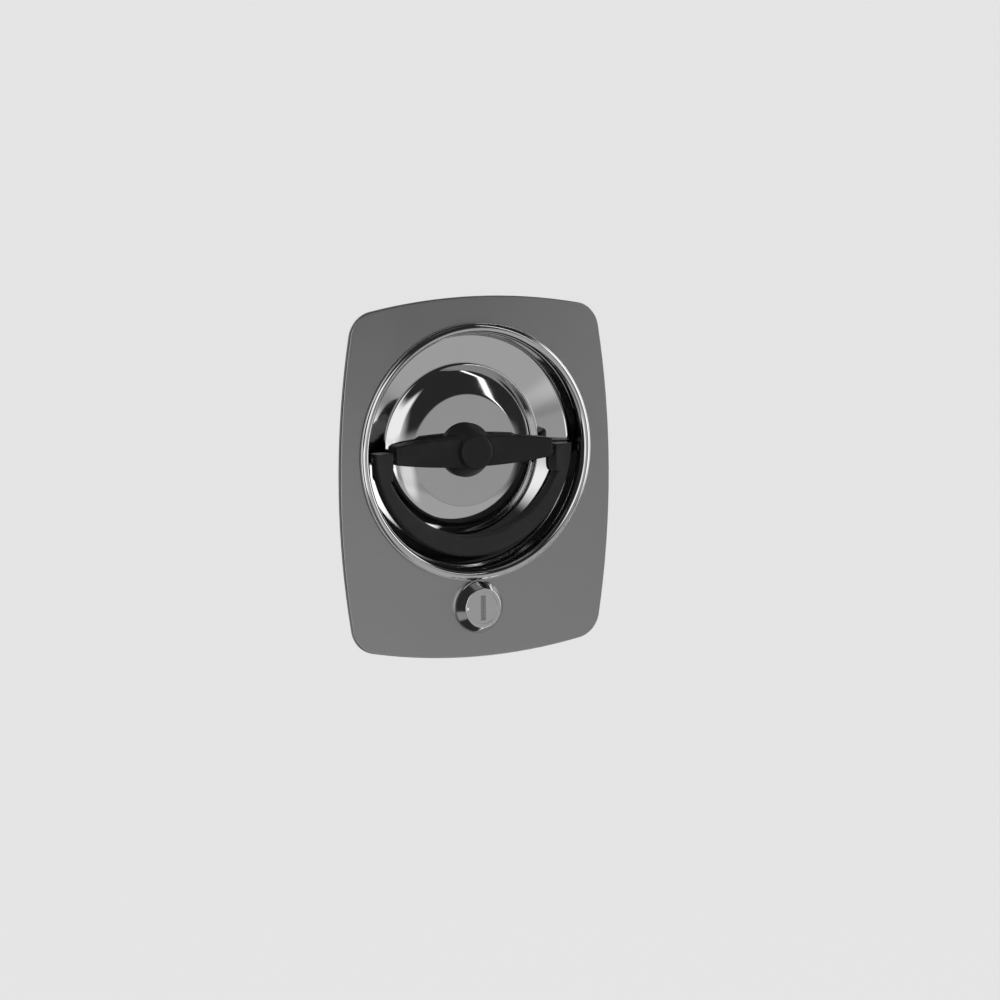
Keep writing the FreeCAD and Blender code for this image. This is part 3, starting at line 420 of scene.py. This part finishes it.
def make_face_plate():
    """The plate with its dish turned finely; the flange keeps the mesh of the solid."""
    source = nodes["face_plate"]
    mesh = source.data
    flange_start = (BEAD_END + FLANGE_MARGIN) / MM_PER_METRE
    points = []
    faces = []
    normals = []
    kept = {}
    for polygon in mesh.polygons:
        corners = [source.matrix_world @ mesh.vertices[index].co for index in polygon.vertices]
        if all(hypot(p.x - dish_centre.x, p.z - dish_centre.z) < flange_start for p in corners):
            continue
        face = []
        for index, loop, place in zip(polygon.vertices, polygon.loop_indices, corners):
            if index not in kept:
                kept[index] = len(points)
                points.append(place)
            face.append(kept[index])
            normals.append(mesh.corner_normals[loop].vector.copy())
        faces.append(face)

    # The back is the front moved by the sheet's thickness, with every other point in between
    front = dish_front()
    front_normals = path_normals(front)
    back = [(r - SHEET * u, d - SHEET * v) for (r, d), (u, v) in zip(front, front_normals)]
    back = back[:2] + back[2:-2:2] + [(LIP_RADIUS, SHEET - LIP_SINK)]
    back_normals = [(-u, -v) for u, v in path_normals(back)]
    plate_y = plate_low.y + CREST_HEIGHT / MM_PER_METRE

    def turned(path, path_directions, flip):
        """Turns a path about the dish's axis and adds its faces, with their normals."""
        start = len(points)
        rows = len(path)
        directions = []
        for column in range(TURNS):
            angle = 2 * pi * column / TURNS
            for (r, d), (u, v) in zip(path, path_directions):
                points.append(Vector((dish_centre.x + r * cos(angle) / MM_PER_METRE,
                                      plate_y + d / MM_PER_METRE,
                                      dish_centre.z + r * sin(angle) / MM_PER_METRE)))
                directions.append(Vector((u * cos(angle), v, u * sin(angle))).normalized())
        for column in range(TURNS):
            near = column * rows
            far = (column + 1) % TURNS * rows
            for row in range(rows - 1):
                quad = [near + row, near + row + 1, far + row + 1, far + row]
                if flip:
                    quad.reverse()
                faces.append([start + index for index in quad])
                normals.extend(directions[index] for index in quad)

    turned(front, front_normals, False)
    polished = len(faces)
    turned(back, back_normals, True)
    for end, side in ((0, -1), (-1, 1)):
        turned([front[end], back[end]], [(side, 0), (side, 0)], side > 0)
    plate = new_mesh("pressed_plate", points, faces, MATERIALS["plate_steel"])
    plate.data.materials.append(MATERIALS["plate_back"])
    for polygon in plate.data.polygons[polished:]:
        polygon.material_index = 1
    plate.data.shade_smooth()
    plate.data.normals_split_custom_set(normals)
    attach(plate, "plate_set")
    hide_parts("face_plate")


# Dust shutter just inside the keyway's mouth
SHUTTER_WIDTH = 0.0022
SHUTTER_HEIGHT = 0.0094
SHUTTER_RECESS = 0.0002
SHUTTER_DEPTH = 0.0006
SHUTTER_SEAM = 0.0001


def box_mesh(name, low, high, material):
    points = [(x, y, z) for x in (low[0], high[0])
              for y in (low[1], high[1]) for z in (low[2], high[2])]
    faces = [(0, 1, 3, 2), (4, 6, 7, 5), (0, 4, 5, 1), (2, 3, 7, 6), (0, 2, 6, 4), (1, 5, 7, 3)]
    return new_mesh(name, points, faces, material)


def make_shutter():
    """Two sprung flaps that close the keyway; they turn with the plug."""
    low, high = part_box("lock_plug")
    x = (low.x + high.x) / 2
    z = (low.z + high.z) / 2
    front = low.y + SHUTTER_RECESS
    for name, side in (("left_flap", -1), ("right_flap", 1)):
        edges = sorted((x + side * SHUTTER_SEAM / 2, x + side * SHUTTER_WIDTH / 2))
        flap = box_mesh(name, (edges[0], front, z - SHUTTER_HEIGHT / 2),
                        (edges[1], front + SHUTTER_DEPTH, z + SHUTTER_HEIGHT / 2),
                        MATERIALS["spring_steel"])
        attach(flap, "lock_core")


# Surroundings: PALE is what the camera and reflections see, AMBIENT is what lights the rest
PALE = 0.79
AMBIENT = 0.62
FLOOR_DROP = 0.52
FLOOR_SIZE = 240.0
FLOOR_PAINT = 0.8
FLOOR_GLOW = 0.81
FLOOR_GLOW_SHARE = 0.9

# Sphere of light around the latch
TENT_RADIUS = 0.5
TENT_COLUMNS = 96
TENT_ROWS = 48

# What the polished dish mirrors: azimuths, their softness, elevations, their softness, level
ROOM = 0.03
SIGHTS = (
    ((-30, 70), 6, (-95, -20), 3, 0.50),
    ((-32, 48), 5, (-19, 0.5), 3, 0.41),
    ((-42, -4), 5, (0, 31), 6, 1.3),
    ((-5, 5), 3, (-26, -8), 5, 0.6),
    ((36.5, 39.5), 0.8, (2, 46), 3, 2.6),
    ((61, 128), 4, (-16, 30), 6, 1.8),
    ((84, 128), 5, (-66, -16), 6, 1.9),
    ((-40, 128), 12, (66, 95), 5, 0.16),
    ((-50, -22), 3, (-22, 0), 4, 1.3),
    ((-134, -50), 6, (-52, -24), 4, 0.30),
    ((134, 200), 5, (-50, 60), 8, 0.36),
    ((-200, -134), 5, (-50, 60), 8, 0.36),
)

# Lamps: azimuth, elevation, distance, width and height, watts
LAMPS = {
    "key": (-35, 50, 1.6, (1.2, 1.0), 9.0),
    "fill": (60, 30, 1.8, (1.2, 1.2), 4.0),
}


def ray_kind(g):
    """1 for camera, glossy and transmission rays, 0 for the rest."""
    path = g.add("ShaderNodeLightPath")
    seen = g.math("MAXIMUM", path.outputs["Is Camera Ray"], path.outputs["Is Glossy Ray"])
    return g.math("MAXIMUM", seen, path.outputs["Is Transmission Ray"])


def make_world():
    world = bpy.data.worlds.new("studio")
    bpy.context.scene.world = world
    g = Graph(world)
    level = g.mix(ray_kind(g), grey(AMBIENT), grey(PALE))
    g.output(g.add("ShaderNodeBackground", {"Color": level, "Strength": 1.0}), "World")


def make_floor():
    """Pale floor that fades into the world behind it."""
    material, g = new_material("floor")
    paint = g.add("ShaderNodeBsdfDiffuse", {"Color": grey(FLOOR_PAINT)})
    glow = g.add("ShaderNodeEmission", {"Color": grey(FLOOR_GLOW)})
    share = g.math("MULTIPLY", ray_kind(g), FLOOR_GLOW_SHARE)
    g.output(g.add("ShaderNodeMixShader", {0: share, 1: paint.outputs[0], 2: glow.outputs[0]}))
    half = FLOOR_SIZE / 2
    z = cad_low.z - FLOOR_DROP
    points = [(-half, -half, z), (half, -half, z), (half, half, z), (-half, half, z)]
    floor = new_mesh("floor", points, [(0, 1, 2, 3)], material)


def band(g, value, limits, soft):
    """1 between the limits, 0 outside, with soft edges."""
    low, high = limits
    rise = g.ramp(value, low - soft, low + soft)
    fall = g.ramp(value, high - soft, high + soft, 1.0, 0.0)
    return g.math("MULTIPLY", rise, fall)


def tent_material():
    """Light levels by direction; azimuth 0 is straight in front of the plate."""
    material, g = new_material("tent")
    x, y, z = g.add("ShaderNodeSeparateXYZ", {"Vector": g.place()}).outputs
    azimuth = g.math("DEGREES", g.math("ARCTAN2", x, g.math("MULTIPLY", y, -1.0)))
    elevation = g.math("DEGREES", g.math("ARCSINE", g.math("DIVIDE", z, TENT_RADIUS)))
    level = ROOM
    for azimuths, side_soft, elevations, end_soft, glow in SIGHTS:
        share = g.math("MULTIPLY", band(g, azimuth, azimuths, side_soft),
                       band(g, elevation, elevations, end_soft))
        level = g.math("MULTIPLY_ADD", share, glow, level)
    g.output(g.add("ShaderNodeEmission", {"Color": grey(1.0), "Strength": level}))
    return material


def make_tent():
    """Sphere around the latch that only its reflections see."""
    points = [direction(360 * column / TENT_COLUMNS, 180 * row / TENT_ROWS - 90) * TENT_RADIUS
              for row in range(TENT_ROWS + 1) for column in range(TENT_COLUMNS)]
    faces = []
    for row in range(TENT_ROWS):
        for column in range(TENT_COLUMNS):
            first = row * TENT_COLUMNS + column
            second = row * TENT_COLUMNS + (column + 1) % TENT_COLUMNS
            faces.append((first, second, second + TENT_COLUMNS, first + TENT_COLUMNS))
    tent = new_mesh("tent", points, faces, tent_material())
    tent.location = dish_centre
    tent.visible_camera = False
    tent.visible_diffuse = False
    tent.visible_shadow = False
    tent.visible_transmission = False


def make_lamps():
    """Soft, even light; the tent gives the reflections."""
    for name, (azimuth, elevation, distance, size, power) in LAMPS.items():
        data = bpy.data.lights.new(name, "AREA")
        data.shape = "RECTANGLE"
        data.size, data.size_y = size
        data.energy = power
        lamp = bpy.data.objects.new(name, data)
        back = direction(azimuth, elevation)
        lamp.location = back * distance
        lamp.rotation_mode = "QUATERNION"
        lamp.rotation_quaternion = back.to_track_quat("Z", "Y")
        lamp.visible_camera = False
        lamp.visible_glossy = False
        bpy.context.scene.collection.objects.link(lamp)


make_camera()
make_world()
make_floor()
make_tent()
make_lamps()
dress_nodes()
make_face_plate()
make_shutter()

bpy.context.scene.view_settings.view_transform = "Standard"
